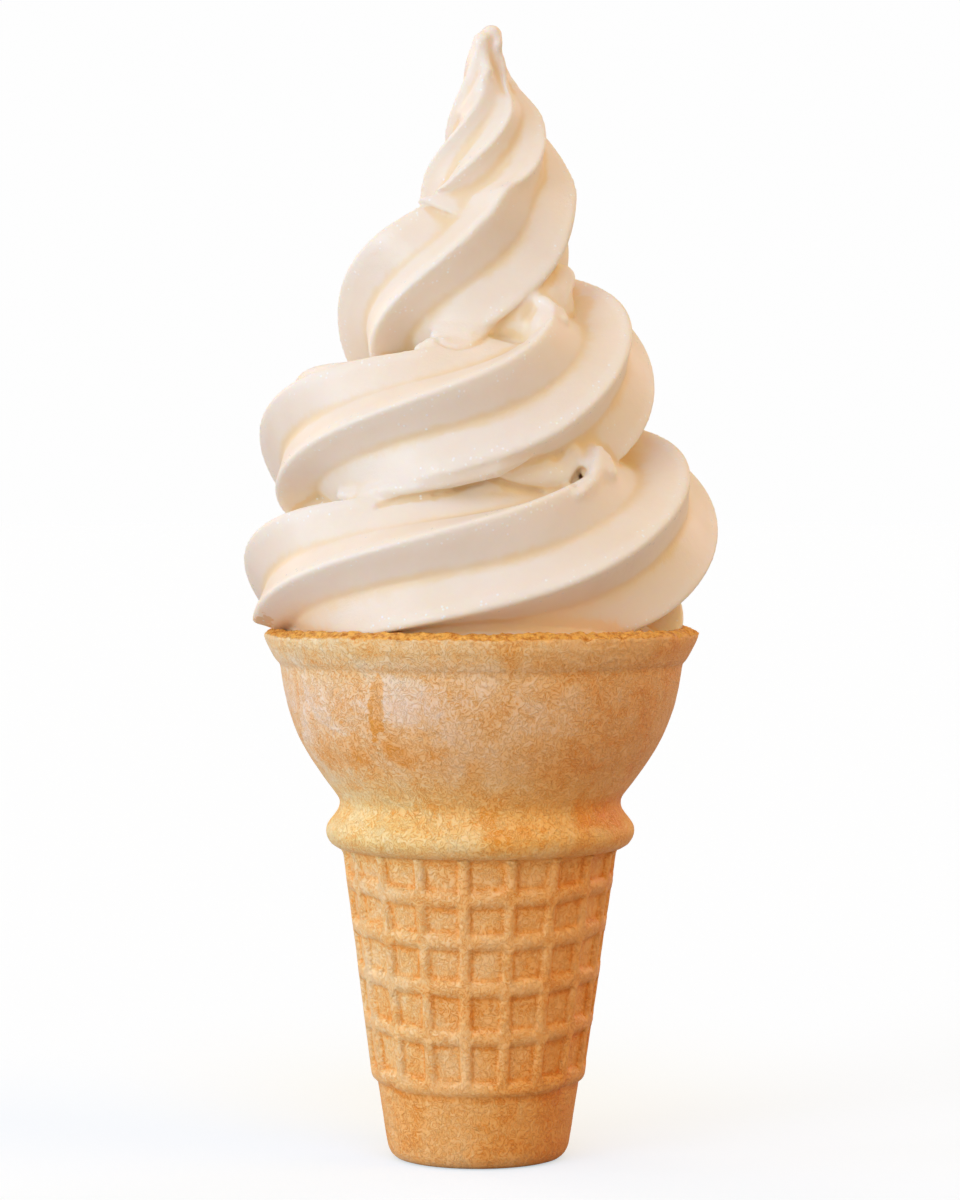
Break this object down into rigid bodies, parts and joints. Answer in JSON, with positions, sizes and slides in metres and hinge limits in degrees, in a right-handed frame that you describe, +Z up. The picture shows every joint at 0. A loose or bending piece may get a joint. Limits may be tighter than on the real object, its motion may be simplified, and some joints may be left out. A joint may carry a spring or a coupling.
{
  "type": "soft serve cone",
  "caption": "Soft serve ice cream piped in a rising swirl on a flat-bottomed wafer cake cup with a waffle lattice.",
  "frame": {"origin": "centre of the cup's flat base", "axes": "+Z up through the cup and the swirl; -Y faces the viewer; +X is the viewer's right"},
  "size_m": [0.0676, 0.0644, 0.1617],
  "materials": {
    "wafer": "matt baked wafer",
    "ice_cream": "soft moist cream"
  },
  "bodies": {
    "root": {"wafer_cup": "wafer", "soft_serve": "ice_cream"}
  },
  "joints": []
}
